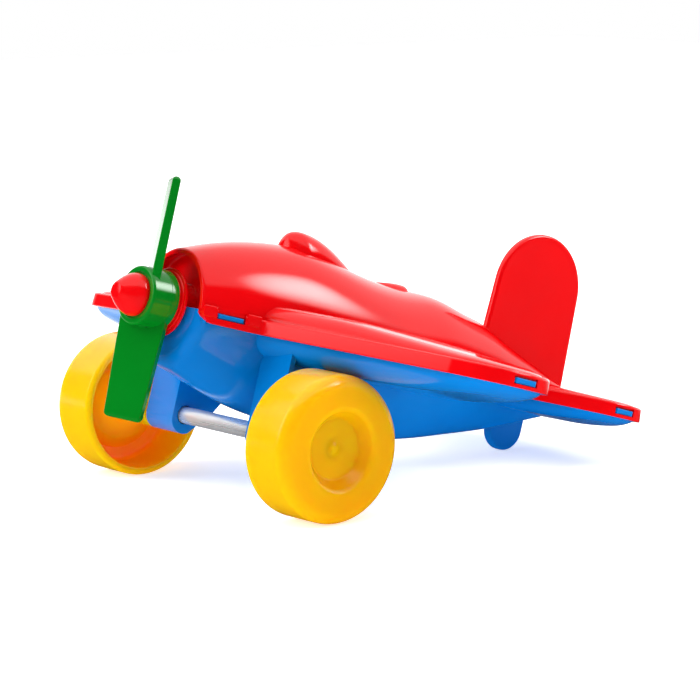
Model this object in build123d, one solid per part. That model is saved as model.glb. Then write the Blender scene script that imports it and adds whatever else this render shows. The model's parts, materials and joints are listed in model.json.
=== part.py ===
from build123d import *
import os
from math import cos, radians, sin

# A push-along toy airplane: two snapped plastic shells, a propeller that spins on a pin through
# the nose, and two wheels pressed on a steel rod that turns in the landing-gear legs.
#
# Every piece is drawn with the airframe level: X to port, Y aft, Z up, origin at the middle of
# the axle. set_down() then tips the toy back until its tail skid touches the floor.
# All sizes are millimetres.

# Stance
NOSE_UP_ANGLE = 16.0
WHEEL_RADIUS = 25.0
AFT_SHIFT = -61.046  # centres the bounding box on the origin, fore and aft

# Wheels and axle
WHEEL_OUTER_FACE = 66.5  # distance of the outer faces from the middle
WHEEL_WIDTH = 20.8
WHEEL_EDGE_RADIUS = 4.6
WHEEL_INNER_EDGE_RADIUS = 1.0
WHEEL_DISH_RADIUS = 14.0
WHEEL_DISH_FLOOR_RADIUS = 11.7
WHEEL_DISH_DEPTH = 4.8
WHEEL_WALL = 2.6
WHEEL_BOSS_RADIUS = 6.5
WHEEL_BOSS_LENGTH = 8.6  # how far the boss stands out of the wheel's inner side
AXLE_RADIUS = 3.0
AXLE_HALF_LENGTH = 58.0
RUNNING_GAP = 0.08  # radial clearance of a turning shaft

# Landing-gear legs, open boxes with their open side outboard
LEG_INNER = 21.0
LEG_OUTER = 36.5
LEG_FRONT = -6.7
LEG_FOOT_RADIUS = 6.7
LEG_HEEL = (11.6, 2.8)
LEG_TOP_REAR = (24.0, 27.0)
LEG_TOP = 33.0
LEG_WALL = 2.0
LEG_RING_RADIUS = 5.4

# Fuselage: aft distance, half width, top height, keel height
STATIONS = [
    (-32.5, 16.5, 54.9, 15.3),
    (-18.0, 21.0, 60.3, 10.9),
    (0.0, 24.0, 63.7, 6.3),
    (20.0, 25.2, 65.0, 4.3),
    (45.0, 24.6, 61.9, 4.0),
    (70.0, 22.0, 60.2, 6.3),
    (95.0, 17.6, 58.0, 11.4),
    (120.0, 12.0, 52.4, 17.9),
    (140.0, 7.5, 46.0, 24.2),
    (157.0, 4.0, 39.6, 30.2),
]
SPLIT_HEIGHT = 36.0  # where the two shells meet at the nose
SHELL_WALL = 2.0
NOSE_FRONT = -32.5
NOSE_EDGE_RADIUS = 3.0  # rounded lower edge of the nose
TAIL_END = 157.0

# Rim that runs round the planform: the upper shell's skirt laps over the lower shell's edge
SKIRT_BOTTOM = 32.0
SKIRT_TOP = 37.2
SKIRT_WALL = 1.8
LEDGE = 3.0
RIM_GAP = 0.2
SKIRT_NOSE = -33.5

# Wing: round tips, straight edges
WING_TIP_X = 93.7
WING_TIP_Y = 28.5
WING_TIP_RADIUS = 22.0
WING_ROOT_FRONT = (25.5, -12.0)
WING_ROOT_REAR = (24.0, 64.0)
WING_TOP = 42.3
WING_TOP_ROUND = 4.6
WING_UNDERSIDE = 26.0  # outer band, clear of the wheels
WING_UNDERSIDE_ROUND = 5.4
WING_BELLY = 24.4  # deeper middle of the chord
WING_BELLY_INSET = 14.0

# Tailplane
TAIL_TIP_X = 40.5
TAIL_TIP_Y = 134.0
TAIL_TIP_RADIUS = 18.0
TAIL_ROOT_FRONT = (15.5, 108.0)
TAIL_ROOT_REAR = (3.5, TAIL_END)
TAIL_TOP = 38.4
TAIL_TOP_ROUND = 1.0
TAIL_UNDERSIDE = 26.8
TAIL_UNDERSIDE_ROUND = 4.0

# Canopy and the low fairing behind it: centre aft, front, rear and side reach, height above spine
CANOPY = (20.5, 10.0, 23.0, 9.6, 6.2)
FAIRING = (66.0, 10.0, 16.0, 7.0, 2.7)

# Fin and tail skid
FIN_THICKNESS = 3.2
FIN_FRONT = 111.4
FIN_REAR = 154.2
FIN_CENTRE_HEIGHT = 72.8
FIN_FOOT_HEIGHT = 36.0
SKID_THICKNESS = 4.0
SKID_CENTRE = 130.8
SKID_HALF_LENGTH = 8.2

# Snap hooks of the lower shell, seen in the notches of the skirt
HOOK_HEIGHT = 2.2
HOOK_SILL = 34.0
HOOK_INSET = 0.5
HOOK_SIDE_GAP = 0.5
# Middle of the skirt's face (port side), outward angle from X, width
HOOKS = [
    (22.45, -22.9, -15.6, 10.6),
    (WING_TIP_X + WING_TIP_RADIUS, 28.2, 0.0, 8.6),
    (TAIL_TIP_X + TAIL_TIP_RADIUS, 133.4, 0.0, 7.9),
]

# Propeller group, on an axis parallel to the fuselage
PROP_AXIS_HEIGHT = 36.2
COLLAR_FRONT = -36.3
COLLAR_RADIUS = 11.7
COLLAR_STEP_RADIUS = 10.9
COLLAR_TUBE_RADIUS = 8.0
COLLAR_REAR = -23.6
COLLAR_LIP_RADIUS = 9.6
NOSE_RECESS_DEPTH = 5.0
NOSE_LIP = 1.7
HUB_FRONT = -47.0
HUB_REAR = -36.6
HUB_RADIUS = 10.4
HUB_CUP_RADIUS = 8.7
HUB_CUP_DEPTH = 1.7
BLADE_TIP_RADIUS = 41.7
BLADE_CHORD = 14.4
BLADE_THICKNESS = 2.6
BLADE_ANGLE = 45.0
BLADE_CORNER = 2.0
SPINNER_TIP = -55.7
SPINNER_RADIUS = 7.8
SPINNER_TIP_RADIUS = 3.0
SHANK_RADIUS = 3.0
SHANK_REAR = -18.0
CLIP_RADIUS = 6.0
CLIP_LENGTH = 3.4


def set_down(part):
    """Tips a level part back on its wheels and stands it on the floor."""
    tipped = part.rotate(Axis.X, -NOSE_UP_ANGLE)
    return tipped.moved(Location((0, AFT_SHIFT, WHEEL_RADIUS)))


def both_sides(part):
    """A part and its mirror image across the middle plane."""
    return part + part.mirror(Plane.YZ)


def block(low, high):
    """Box between two corners."""
    size = [b - a for a, b in zip(low, high)]
    centre = [(a + b) / 2 for a, b in zip(low, high)]
    return Pos(*centre) * Box(*size)


def drum(radius, front, rear, height=PROP_AXIS_HEIGHT):
    """Cylinder along the propeller's axis."""
    middle = (front + rear) / 2
    return Pos(0, middle, height) * Rot(90, 0, 0) * Cylinder(radius, rear - front)


# ---------------------------------------------------------------- outlines and body volumes


def station_at(aft):
    """Half width, top and keel of the fuselage at an aft distance."""
    for before, after in zip(STATIONS, STATIONS[1:]):
        if before[0] <= aft <= after[0]:
            share = (aft - before[0]) / (after[0] - before[0])
            return [a + share * (b - a) for a, b in zip(before[1:], after[1:])]
    raise ValueError("no fuselage at this distance")


def fuselage(inset, front=NOSE_FRONT, rear=TAIL_END):
    """Fuselage volume between two distances, drawn inside the outer surface by inset."""
    inner = [row[0] for row in STATIONS if front + 4 < row[0] < rear - 4]
    sections = []
    for aft in [front, *inner, rear]:
        width, top, keel = station_at(aft)
        plane = Plane(origin=(0, aft, SPLIT_HEIGHT), x_dir=(1, 0, 0), z_dir=(0, -1, 0))
        rise = top - SPLIT_HEIGHT - inset
        drop = SPLIT_HEIGHT - keel - inset
        upper = EllipticalCenterArc((0, 0), width - inset, rise, 0, arc_size=180)
        lower = EllipticalCenterArc((0, 0), width - inset, drop, 180, arc_size=180)
        sections.append(plane * make_face(upper + lower))
    return loft(sections)


def rounded_plan(tip_x, tip_y, radius, root_front, root_rear, inset):
    """Plan of a wing or tailplane: the hull of two tip circles and the root corners."""
    edges = [Pos(side * tip_x, tip_y) * CenterArc((0, 0), radius - inset, 0, 360) for side in (1, -1)]
    front = (root_front[0], root_front[1] + inset)
    rear = (root_rear[0], root_rear[1] - inset)
    corners = [front, (-front[0], front[1]), (-rear[0], rear[1]), rear]
    edges += Polyline(*corners, close=True).edges()
    return make_hull(edges)


def wing_plan(inset):
    return rounded_plan(WING_TIP_X, WING_TIP_Y, WING_TIP_RADIUS, WING_ROOT_FRONT, WING_ROOT_REAR, inset)


def tail_plan(inset):
    return rounded_plan(TAIL_TIP_X, TAIL_TIP_Y, TAIL_TIP_RADIUS, TAIL_ROOT_FRONT, TAIL_ROOT_REAR, inset)


def side_plan(inset):
    """Plan of the rim along the fuselage's sides."""
    reach = LEDGE - inset
    port = [(SKIRT_NOSE + inset, STATIONS[0][1])] + [(row[0], row[1]) for row in STATIONS[1:]]
    curve = Spline(*[(half + reach, aft) for aft, half in port])
    closing = Polyline(curve @ 1, (0, TAIL_END), (0, SKIRT_NOSE + inset), curve @ 0)
    half_face = make_face(curve + closing)
    return half_face + half_face.mirror(Plane.YZ)


def rim(inset, low, high):
    """Flat slab with the whole airplane's plan."""
    slab = extrude(side_plan(inset), high - low)
    slab += extrude(wing_plan(inset), high - low)
    slab += extrude(tail_plan(inset), high - low)
    return Pos(0, 0, low) * slab


def pillow(plan, low, high, round_top=0.0, round_bottom=0.0):
    """Plan extruded between two heights with its top or bottom edge rounded over."""
    body = Pos(0, 0, low) * extrude(plan, high - low)
    if round_top:
        body = fillet(body.faces().sort_by(Axis.Z)[-1].edges(), round_top)
    if round_bottom:
        body = fillet(body.faces().sort_by(Axis.Z)[0].edges(), round_bottom)
    return body


def upper_pillows(wall):
    """Raised panels on top of the wing and tailplane, or the hollows inside them."""
    low = SKIRT_TOP - 2.0
    wing = pillow(wing_plan(LEDGE + wall), low, WING_TOP - wall, WING_TOP_ROUND - wall / 2)
    tail = pillow(tail_plan(LEDGE + wall), low - 0.5, TAIL_TOP - wall, TAIL_TOP_ROUND - wall / 4)
    return wing + tail


def lower_pillows(wall):
    """Bulged undersides of the wing and tailplane, or the hollows inside them."""
    high = SKIRT_BOTTOM + 1.0
    edge = LEDGE + wall
    belly = WING_BELLY_INSET + wall
    deep = WING_BELLY + wall
    wing = pillow(wing_plan(edge), WING_UNDERSIDE + wall, high, 0, WING_UNDERSIDE_ROUND - wall)
    wing += pillow(wing_plan(belly), deep, high, 0, 1.4)
    tail = pillow(tail_plan(edge), TAIL_UNDERSIDE + wall, high, 0, TAIL_UNDERSIDE_ROUND - wall)
    return wing + tail


def egg(centre, front, rear, side, height):
    """Rounded bump standing on the spine, longer behind its centre than in front."""
    spine = station_at(centre)[1]
    halves = []
    for reach, box_low, box_high in ((front, -front, 0.0), (rear, 0.0, rear)):
        ball = scale(Sphere(1), by=(side, reach, height + 3.0))
        halves.append(ball & block((-side, box_low, 0), (side, box_high, height + 3.0)))
    return Pos(0, centre, spine - 3.0) * (halves[0] + halves[1])


# ---------------------------------------------------------------- airframe


def hook_block(hook, inner, outer, low, high, widen=0.0):
    """Block set against the skirt at one snap hook, port side."""
    x, y, angle, width = hook
    half = width / 2 + widen
    return Pos(x, y, 0) * Rot(0, 0, angle) * block((inner, -half, low), (outer, half, high))


def make_upper_shell(outer):
    """Top moulding: fuselage top, wing and tail panels, canopy, fairing and the skirt."""
    top_half = outer & block((-60, NOSE_FRONT, SPLIT_HEIGHT), (60, TAIL_END, 80))
    shell = rim(0.0, SKIRT_BOTTOM, SKIRT_TOP) + upper_pillows(0.0) + top_half
    shell += egg(*CANOPY) + egg(*FAIRING)
    bulkhead_front = NOSE_FRONT + NOSE_RECESS_DEPTH
    shell -= rim(SKIRT_WALL, SKIRT_BOTTOM - 1, SKIRT_TOP - SHELL_WALL)
    shell -= upper_pillows(SHELL_WALL)
    hollow = fuselage(SHELL_WALL, bulkhead_front + SHELL_WALL, TAIL_END - SHELL_WALL)
    shell -= hollow & block((-60, NOSE_FRONT, SKIRT_BOTTOM - 1), (60, TAIL_END, 80))
    recess = fuselage(NOSE_LIP, NOSE_FRONT, bulkhead_front)
    shell -= recess & block((-60, NOSE_FRONT, SPLIT_HEIGHT), (60, bulkhead_front, 80))
    shell -= outer & block((-60, NOSE_FRONT, 0), (60, TAIL_END, SPLIT_HEIGHT))
    shell -= block((-16.6, SKIRT_NOSE - 1, SKIRT_BOTTOM - 1), (16.6, NOSE_FRONT, SKIRT_TOP + 1))
    for hook in HOOKS:
        notch = hook_block(hook, -LEDGE + 0.1, 1.0, HOOK_SILL, SKIRT_TOP + 0.5, HOOK_SIDE_GAP)
        shell -= both_sides(notch)
    return shell - drum(COLLAR_TUBE_RADIUS, NOSE_FRONT - 1, -24.0)


def make_lower_shell(outer):
    """Bottom moulding: belly and the undersides of the wing and tailplane."""
    bottom_half = outer & block((-60, NOSE_FRONT, 0), (60, TAIL_END, SPLIT_HEIGHT))
    front_face = bottom_half.faces().sort_by(Axis.Y)[0]
    bottom_half = fillet(front_face.edges().sort_by(Axis.Z)[0], NOSE_EDGE_RADIUS)
    edge = SKIRT_WALL + RIM_GAP
    edge_top = SKIRT_TOP - SHELL_WALL - RIM_GAP
    shell = bottom_half + lower_pillows(0.0) + rim(edge, SKIRT_BOTTOM, edge_top)
    shell -= rim(edge + SHELL_WALL, SKIRT_BOTTOM, edge_top + 1)
    shell -= lower_pillows(SHELL_WALL)
    hollow = fuselage(SHELL_WALL, NOSE_FRONT + SHELL_WALL, TAIL_END - SHELL_WALL)
    shell -= hollow & block((-60, NOSE_FRONT, 0), (60, TAIL_END, 40))
    return shell - drum(COLLAR_TUBE_RADIUS, NOSE_FRONT - 1, -24.0)


def make_snap_hooks():
    """Six hook heads of the lower shell that rest on the skirt's sills."""
    heads = Part()
    for hook in HOOKS:
        inner = -(SKIRT_WALL + RIM_GAP)
        head = hook_block(hook, inner, -HOOK_INSET, HOOK_SILL + 0.1, HOOK_SILL + 0.1 + HOOK_HEIGHT)
        heads += both_sides(head)
    return heads - rim(SKIRT_WALL + RIM_GAP, SKIRT_BOTTOM, SKIRT_TOP)


def make_fin(outer):
    """Upright fin with a round top, cut to the spine."""
    radius = (FIN_REAR - FIN_FRONT) / 2
    centre = (FIN_FRONT + FIN_REAR) / 2
    side = Pos(centre, FIN_CENTRE_HEIGHT) * Circle(radius)
    side += Pos(centre, (FIN_CENTRE_HEIGHT + FIN_FOOT_HEIGHT) / 2) * Rectangle(
        2 * radius, FIN_CENTRE_HEIGHT - FIN_FOOT_HEIGHT
    )
    plate = extrude(Plane.YZ * side, FIN_THICKNESS / 2, both=True)
    rims = plate.edges().filter_by(lambda e: e.center().Z > FIN_FOOT_HEIGHT + 1)
    plate = fillet(rims, FIN_THICKNESS * 0.3)
    return plate - outer - upper_pillows(0.0) - rim(0.0, SKIRT_BOTTOM, SKIRT_TOP)


def make_tail_skid(outer):
    """Rounded plate under the tail that rests on the floor."""
    tilt = radians(NOSE_UP_ANGLE)
    centre = (SKID_CENTRE * sin(tilt) - WHEEL_RADIUS + SKID_HALF_LENGTH) / cos(tilt)
    side = Pos(SKID_CENTRE, centre) * Circle(SKID_HALF_LENGTH)
    side += Pos(SKID_CENTRE, centre + 6) * Rectangle(2 * SKID_HALF_LENGTH, 12)
    plate = extrude(Plane.YZ * side, SKID_THICKNESS / 2, both=True)
    return plate - outer


def leg_profile(inset):
    """Side view of a leg: straight front, round foot about the axle, raked rear."""
    foot = Circle(LEG_FOOT_RADIUS - inset)
    heel = (LEG_HEEL[0] - inset, LEG_HEEL[1] + inset)
    knee = (LEG_TOP_REAR[0] - inset, LEG_TOP_REAR[1])
    outline = Polyline(
        (LEG_FRONT + inset, 0),
        (LEG_FOOT_RADIUS * 0.5, -LEG_FOOT_RADIUS * 0.8 + inset),
        heel,
        knee,
        (knee[0], LEG_TOP),
        (LEG_FRONT + inset, LEG_TOP),
        close=True,
    )
    return foot + make_face(outline)


def make_leg(lower_volume):
    """Port landing-gear leg: an open box with a bearing ring for the axle."""
    plane = Plane.YZ.offset(LEG_INNER)
    leg = extrude(plane * leg_profile(0.0), LEG_OUTER - LEG_INNER)
    pocket_plane = Plane.YZ.offset(LEG_INNER + LEG_WALL)
    leg -= extrude(pocket_plane * leg_profile(LEG_WALL), LEG_OUTER - LEG_INNER)
    leg += extrude(plane * Circle(LEG_RING_RADIUS), LEG_OUTER - LEG_INNER)
    leg -= extrude(Plane.YZ * Circle(AXLE_RADIUS + RUNNING_GAP), LEG_OUTER + 1)
    return leg - lower_volume


# ---------------------------------------------------------------- wheels and axle


def make_wheel():
    """Port wheel: rounded tread, dished outer face, hollow inside, blind boss for the axle."""
    out = WHEEL_OUTER_FACE
    inn = out - WHEEL_WIDTH
    edge = WHEEL_EDGE_RADIUS
    web = out - WHEEL_DISH_DEPTH - WHEEL_WALL
    profile = make_face(
        Polyline((inn, 0), (inn, WHEEL_RADIUS - WHEEL_INNER_EDGE_RADIUS))
        + RadiusArc(
            (inn, WHEEL_RADIUS - WHEEL_INNER_EDGE_RADIUS),
            (inn + WHEEL_INNER_EDGE_RADIUS, WHEEL_RADIUS),
            WHEEL_INNER_EDGE_RADIUS,
        )
        + Line((inn + WHEEL_INNER_EDGE_RADIUS, WHEEL_RADIUS), (out - edge, WHEEL_RADIUS))
        + RadiusArc((out - edge, WHEEL_RADIUS), (out - 0.6, WHEEL_RADIUS - edge), edge)
        + Polyline(
            (out - 0.6, WHEEL_RADIUS - edge),
            (out, WHEEL_DISH_RADIUS + 0.6),
            (out - 0.6, WHEEL_DISH_RADIUS),
            (out - WHEEL_DISH_DEPTH, WHEEL_DISH_FLOOR_RADIUS),
            (out - WHEEL_DISH_DEPTH, 0),
            (inn, 0),
        )
    )
    hollow = make_face(
        Polyline(
            (inn - 1, WHEEL_BOSS_RADIUS),
            (inn - 1, WHEEL_RADIUS - WHEEL_WALL),
            (out - edge, WHEEL_RADIUS - WHEEL_WALL),
            (out - 2 * WHEEL_WALL, WHEEL_DISH_RADIUS + WHEEL_WALL),
            (web, WHEEL_DISH_FLOOR_RADIUS + WHEEL_WALL),
            (web, WHEEL_BOSS_RADIUS),
            close=True,
        )
    )
    wheel = revolve(profile - hollow, Axis.X)
    boss_end = inn - WHEEL_BOSS_LENGTH
    wheel += extrude(Plane.YZ.offset(boss_end) * Circle(WHEEL_BOSS_RADIUS), WHEEL_BOSS_LENGTH + 1)
    socket_depth = AXLE_HALF_LENGTH - boss_end
    wheel -= extrude(Plane.YZ.offset(boss_end) * Circle(AXLE_RADIUS), socket_depth)
    nub = extrude(Plane.YZ.offset(out - WHEEL_DISH_DEPTH) * Circle(1.8), 0.5)
    return wheel + nub


def make_axle():
    """Steel rod with chamfered ends."""
    rod = extrude(Plane.YZ * Circle(AXLE_RADIUS), AXLE_HALF_LENGTH, both=True)
    return chamfer(rod.edges().filter_by(GeomType.CIRCLE), 0.4)


# ---------------------------------------------------------------- propeller group


def make_collar():
    """Stepped flange and tube clamped between the shells; the spinner's shank turns in it."""
    lip_rear = COLLAR_FRONT + 0.7
    flange_rear = COLLAR_FRONT + 1.9
    collar = drum(COLLAR_STEP_RADIUS, COLLAR_FRONT, lip_rear)
    collar += drum(COLLAR_RADIUS, lip_rear, flange_rear)
    collar += drum(COLLAR_TUBE_RADIUS, flange_rear, COLLAR_REAR)
    collar += drum(COLLAR_LIP_RADIUS, COLLAR_REAR - 1.4, COLLAR_REAR)
    return collar - drum(SHANK_RADIUS + RUNNING_GAP, COLLAR_FRONT - 1, COLLAR_REAR + 1)


def make_blade():
    """One blade standing up from the axis, turned to its pitch."""
    plan = Rectangle(BLADE_CHORD, BLADE_TIP_RADIUS, align=(Align.CENTER, Align.MIN))
    plan = fillet(plan.vertices().group_by(Axis.Y)[-1], BLADE_CORNER)
    plate = extrude(Plane.XZ * plan, BLADE_THICKNESS / 2, both=True)
    return plate.rotate(Axis.Z, -BLADE_ANGLE)


def make_propeller():
    """Cupped hub with two flat blades."""
    middle = (HUB_FRONT + HUB_REAR) / 2
    blade = make_blade()
    blades = blade + blade.rotate(Axis.Y, 180)
    propeller = drum(HUB_RADIUS, HUB_FRONT, HUB_REAR)
    propeller += blades.moved(Location((0, middle, PROP_AXIS_HEIGHT)))
    propeller -= drum(HUB_CUP_RADIUS, HUB_FRONT - 5, HUB_FRONT + HUB_CUP_DEPTH)
    propeller -= drum(COLLAR_RADIUS + 0.6, HUB_REAR, HUB_REAR + 5)
    return propeller - drum(SHANK_RADIUS, HUB_FRONT, HUB_REAR + 1)


def make_spinner():
    """Blunt nose cone with the shank that carries the propeller."""
    base = HUB_FRONT + HUB_CUP_DEPTH
    shoulder = HUB_FRONT - 0.8
    profile = make_face(
        Polyline((0, SPINNER_TIP), (SPINNER_TIP_RADIUS, SPINNER_TIP))
        + ThreePointArc(
            (SPINNER_TIP_RADIUS, SPINNER_TIP),
            (SPINNER_RADIUS * 0.8, (SPINNER_TIP + shoulder) / 2 + 0.2),
            (SPINNER_RADIUS, shoulder),
        )
        + Polyline(
            (SPINNER_RADIUS, shoulder),
            (SPINNER_RADIUS, base),
            (SHANK_RADIUS, base),
            (SHANK_RADIUS, SHANK_REAR),
            (0, SHANK_REAR),
            (0, SPINNER_TIP),
        )
    )
    return revolve(profile, Axis.Y).moved(Location((0, 0, PROP_AXIS_HEIGHT)))


def make_shaft_clip():
    """Ring pressed on the shank's rear end inside the nose, so the propeller can't pull out."""
    front = COLLAR_REAR + 0.3
    ring = drum(CLIP_RADIUS, front, front + CLIP_LENGTH)
    return ring - drum(SHANK_RADIUS, front - 1, front + CLIP_LENGTH + 1)


def make_parts():
    """Every piece, level, by node name."""
    outer = fuselage(0.0)
    lower_volume = outer + lower_pillows(0.0) + rim(0.0, SKIRT_BOTTOM, SKIRT_TOP)
    leg = make_leg(lower_volume)
    wheel = make_wheel()
    return {
        "upper_shell": make_upper_shell(outer),
        "fin": make_fin(outer),
        "lower_shell": make_lower_shell(outer),
        "snap_hooks": make_snap_hooks(),
        "leg_left": leg,
        "leg_right": leg.mirror(Plane.YZ),
        "tail_skid": make_tail_skid(outer),
        "prop_collar": make_collar(),
        "propeller": make_propeller(),
        "spinner": make_spinner(),
        "shaft_clip": make_shaft_clip(),
        "axle": make_axle(),
        "wheel_left": wheel,
        "wheel_right": wheel.mirror(Plane.YZ),
    }


os.makedirs("parts", exist_ok=True)
for node, part in make_parts().items():
    export_step(set_down(part), f"parts/{node}.step")
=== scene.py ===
"""Looks of the toy airplane: smooth moulded shells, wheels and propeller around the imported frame.

Shapes are drawn with the airframe level, in millimetres from the middle of the axle: X to port,
Y aft and Z up. place() tips them back on the tail skid and moves them to where the axle is.
"""
import json
import math

import bmesh
import bpy
import numpy as np
from mathutils import Matrix, Vector


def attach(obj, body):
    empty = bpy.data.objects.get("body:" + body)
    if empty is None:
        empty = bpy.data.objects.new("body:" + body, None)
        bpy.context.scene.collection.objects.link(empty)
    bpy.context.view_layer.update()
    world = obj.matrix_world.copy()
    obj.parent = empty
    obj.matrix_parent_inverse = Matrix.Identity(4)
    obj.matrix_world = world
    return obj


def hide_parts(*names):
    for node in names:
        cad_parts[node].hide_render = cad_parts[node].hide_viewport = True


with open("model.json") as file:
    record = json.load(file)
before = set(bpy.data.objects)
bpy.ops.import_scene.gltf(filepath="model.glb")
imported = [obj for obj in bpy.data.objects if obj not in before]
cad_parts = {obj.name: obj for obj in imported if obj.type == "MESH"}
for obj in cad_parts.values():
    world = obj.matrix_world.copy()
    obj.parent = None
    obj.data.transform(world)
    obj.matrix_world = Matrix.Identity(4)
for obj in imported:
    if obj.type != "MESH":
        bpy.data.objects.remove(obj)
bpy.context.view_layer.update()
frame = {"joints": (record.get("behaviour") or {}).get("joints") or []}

JOINTS = {joint["name"]: joint for joint in frame["joints"]}
AXLE = Vector(JOINTS["axle_spin"]["pos_m"])
SPIN_AXIS = JOINTS["prop_spin"]["axis"]
TILT = math.atan2(-SPIN_AXIS[2], SPIN_AXIS[1])
TO_ROW = Matrix.Translation(AXLE) @ Matrix.Rotation(-TILT, 4, "X") @ Matrix.Scale(0.001, 4)

# Fuselage: height of the joint between the shells, ends, wall, depth and lip of the nose's hollow
SPLIT = 36.0
NOSE = -32.5
TAIL = 157.0
WALL = 2.0
RECESS = 5.0
NOSE_LIP = 1.8
# Its top, bottom and half width at distances along it
SPINE_POINTS = [
    (-32.5, 55.3), (-17.4, 60.3), (-2.0, 63.6), (14.0, 65.0), (32.0, 63.3), (50.0, 60.9),
    (68.0, 60.4), (80.0, 60.5), (96.0, 57.8), (110.0, 54.6), (122.0, 50.6), (138.0, 45.6), (157.0, 39.4),
]
KEEL_POINTS = [
    (-32.5, 15.3), (-18.0, 10.9), (0.0, 6.3), (20.0, 4.0), (38.0, 3.5), (60.0, 4.7),
    (82.0, 8.1), (100.0, 12.6), (120.0, 17.9), (140.0, 24.5), (157.0, 30.2),
]
WIDTH_POINTS = [
    (-32.5, 17.8), (-18.0, 21.4), (0.0, 24.0), (20.0, 25.2), (45.0, 24.6), (70.0, 22.0),
    (95.0, 17.6), (120.0, 12.0), (140.0, 7.5), (157.0, 4.0),
]

# Skirt, and plan of wing and tailplane: tip centre, tip radius, root corners
SKIRT_LOW = 32.0
SKIRT_HIGH = 37.2
SKIRT_WALL = 1.8
SKIRT_NOSE = (19.2, -32.5)
SKIRT_FRONT = (25.4, -12.0)
SKIRT_BODY_AT = (70.0, 80.0, 90.0, 100.0)
LEDGE = 3.0
RIM_GAP = 0.2
WING = {"tip": (93.7, 28.5), "radius": 22.0, "front": (20.0, -13.44), "rear": (18.0, 65.13)}
TAILPLANE = {"tip": (40.5, 134.0), "radius": 18.0, "front": (10.0, 106.4), "rear": (3.5, 157.0)}
# Where the skirt leaves the body's side for the wing and tailplane, and the corners behind and ahead
WING_STARTS = 30.0
TAILPLANE_STARTS = 21.0
WING_REAR_CORNER = (25.4, 63.8)
TAIL_FRONT_CORNER = (17.6, 108.6)
# Panels thin out towards the tips: where it starts, where it ends, share lost at the tip
WING_THINS = (50.0, 115.7, 0.8)
TAIL_THINS = (18.0, 58.5, 0.75)
# Undersides thin out too: where it starts, where it ends
WING_BELLY_THINS = (55.0, 115.7)
TAIL_BELLY_THINS = (20.0, 58.5)
# Heights that the panels thin towards, and the heights that they reach
PANEL_PLANE = 37.2
BELLY_PLANE = 33.0
WING_TOP = 42.6
WING_LOW = 24.4
TAIL_TOP = 38.9
TAIL_LOW = 27.4
# Snap hooks: middle of the skirt's face, outward angle, tab width, window's low, tab's top, window's top
HOOKS = [
    ((22.12, -22.5), -17.3, 9.3, 34.1, 35.9, 40.0),
    ((115.7, 27.8), 0.0, 9.0, 33.2, 35.3, 36.0),
    ((58.5, 133.4), 0.0, 8.2, 33.2, 35.3, 36.0),
]
# Raised blocks either side of the nose hook: front end, length
NOSE_LUGS = [(NOSE, 5.0), (-17.3, 5.2)]
# Gap under the nose's hollow that the lower shell fills
CHIN_HALF = 15.9
CHIN_LENGTH = 7.2

# Bumps on the spine: centre, blunt end, drawn-out end, half width, height, and how full the two ends are
CANOPY = (16.8, 7.0, 26.5, 8.7, 6.0, 2.5, 1.2)
FAIRING = (65.6, -4.0, -12.0, 5.0, 1.7, 2.2, 1.0)

# Fin, skid and legs; the legs' bearing rings are round the axle
FIN_TOP = (132.8, 73.0)
FIN_RADIUS = 21.0
FIN_THICKNESS = 3.2
STRAKE_ENDS = (92.0, 114.0)
SKID_MIDDLE = 130.8
SKID_RADIUS = 8.2
SKID_THICKNESS = 4.0
LEG_INBOARD = 21.0
LEG_OUTBOARD = 36.5
LEG_TOP = 31.0
LEG_REAR = 27.5
LEG_WALL = 2.0
LEG_FOOT = 5.4
BEARING_RADIUS = 3.35
BEARING_OUTER = 5.2

# Propeller group: height of its axis, then distances along it and radii
PROP_AXIS = 36.2
HUB_FRONT = -47.3
HUB_REAR = -36.6
BLADE_TIP = 41.7
BLADE_PITCH = 30.3
BLADE_ROOT = (8.7, 1.65)  # half width and half thickness at the axis
BLADE_TAPER = (0.048, 0.005)  # and what each loses per millimetre
SPINNER_TIP = -55.7
SHANK_RADIUS = 3.0
SHANK_END = -18.0
COLLAR_TUBE = 8.0
COLLAR_REAR = -23.4

# Wheels and axle, across from the middle plane
WHEEL_FACE = 66.5
WHEEL_WIDTH = 21.3
WHEEL_RADIUS = 25.0
DISH_DEPTH = 4.8
WEB = 2.6
BOSS_LENGTH = 8.1
AXLE_RADIUS = 3.0
AXLE_HALF = 57.8

# Finish: distance that corners are welded within, and the angle of an edge from which it stays sharp
WELD = 0.004
CREASE = 32.0


# ------------------------------------------------------------------ curves and outlines


def smooth_curve(points):
    """Natural cubic spline through (distance, value) points."""
    at, value = np.array(points, float).T
    gap = np.diff(at)
    slope = np.diff(value) / gap
    count = len(at)
    matrix, right = np.eye(count), np.zeros(count)
    for i in range(1, count - 1):
        matrix[i, i - 1 : i + 2] = gap[i - 1], 2 * (gap[i - 1] + gap[i]), gap[i]
        right[i] = 6 * (slope[i] - slope[i - 1])
    bend = np.linalg.solve(matrix, right)

    def curve(x):
        i = int(np.clip(np.searchsorted(at, x) - 1, 0, count - 2))
        a, b, h = at[i + 1] - x, x - at[i], gap[i]
        cubic = (bend[i] * a**3 + bend[i + 1] * b**3) / (6 * h)
        return cubic + (value[i] / h - bend[i] * h / 6) * a + (value[i + 1] / h - bend[i + 1] * h / 6) * b

    return curve


spine = smooth_curve(SPINE_POINTS)
keel = smooth_curve(KEEL_POINTS)
half_width = smooth_curve(WIDTH_POINTS)


def arc(centre, radius, start, end, steps):
    """Points on an arc, angles in degrees, both ends included."""
    angles = np.radians(np.linspace(start, end, steps + 1))
    return [(centre[0] + radius * math.cos(a), centre[1] + radius * math.sin(a)) for a in angles]


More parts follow.
